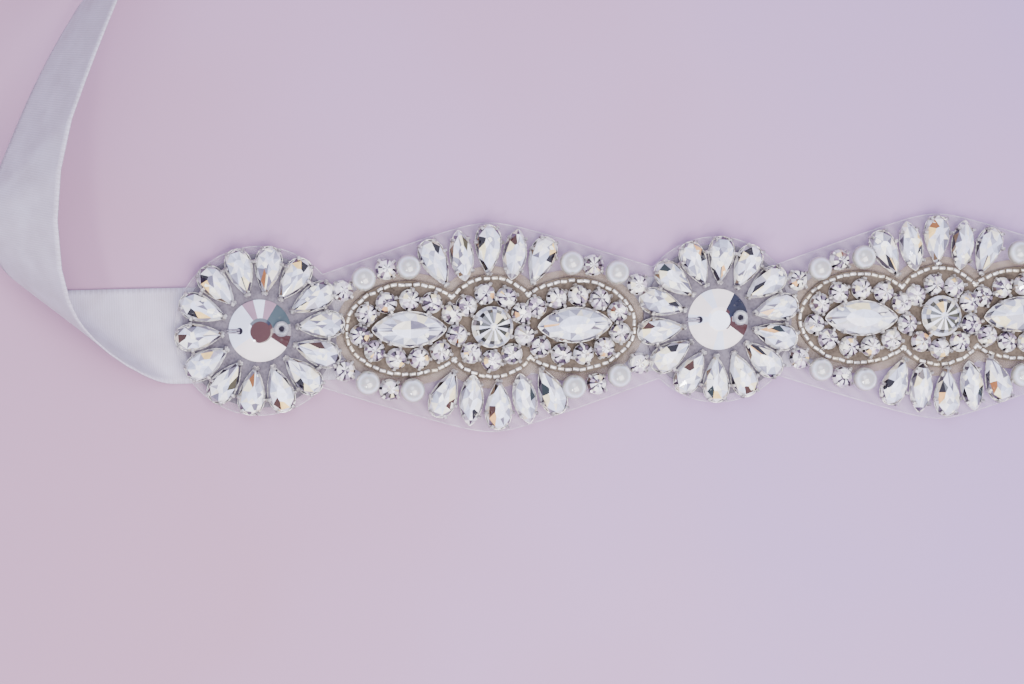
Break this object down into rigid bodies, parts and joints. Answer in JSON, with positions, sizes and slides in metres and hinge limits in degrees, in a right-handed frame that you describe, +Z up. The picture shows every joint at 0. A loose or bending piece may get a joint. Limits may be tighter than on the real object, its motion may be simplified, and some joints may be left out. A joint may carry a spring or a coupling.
{
  "type": "bridal sash belt",
  "caption": "Sash belt lying flat: a beaded crystal and pearl applique sewn to a white satin ribbon, with its ribbon tails turned over and laid on the surface.",
  "frame": {"origin": "on the surface, under the ribbon at the middle of the applique", "axes": "+X along the belt, +Y across it, +Z up from the surface"},
  "size_m": [0.4031, 0.3763, 0.0385],
  "materials": {
    "satin": "single-face satin ribbon, smooth face and ribbed back",
    "organza": "sheer stiff organza net",
    "crystal": "foiled cut crystal in silver claw settings",
    "mirror_crystal": "mirror-backed cut crystal",
    "chaton": "small foiled round stones sewn on a beaded ground",
    "pearl": "pearl-coated bead",
    "silver_bead": "silver-lined bugle bead",
    "setting": "silver-plated claw setting",
    "thread": "fine white sewing thread"
  },
  "bodies": {
    "root": {"ribbon_middle": "satin", "ribbon_left_turn": "satin", "ribbon_left_loop": "satin", "ribbon_left_fall": "satin", "ribbon_left_fold_1": "satin", "ribbon_left_fold_2": "satin", "ribbon_left_end": "satin", "ribbon_right_fold_1": "satin", "ribbon_right_fold_2": "satin", "ribbon_right_end": "satin", "net_backing": "organza", "daisy_1_petals": "crystal", "daisy_1_centre": "mirror_crystal", "daisy_2_petals": "crystal", "daisy_2_centre": "mirror_crystal", "daisy_3_petals": "crystal", "daisy_3_centre": "mirror_crystal", "medallion_1_rings": "chaton", "medallion_1_round": "mirror_crystal", "medallion_1_marquise_left": "crystal", "medallion_1_marquise_right": "crystal", "medallion_1_row_upper": "crystal", "medallion_1_row_lower": "crystal", "medallion_2_rings": "chaton", "medallion_2_round": "mirror_crystal", "medallion_2_marquise_left": "crystal", "medallion_2_marquise_right": "crystal", "medallion_2_row_upper": "crystal", "medallion_2_row_lower": "crystal"}
  },
  "joints": []
}
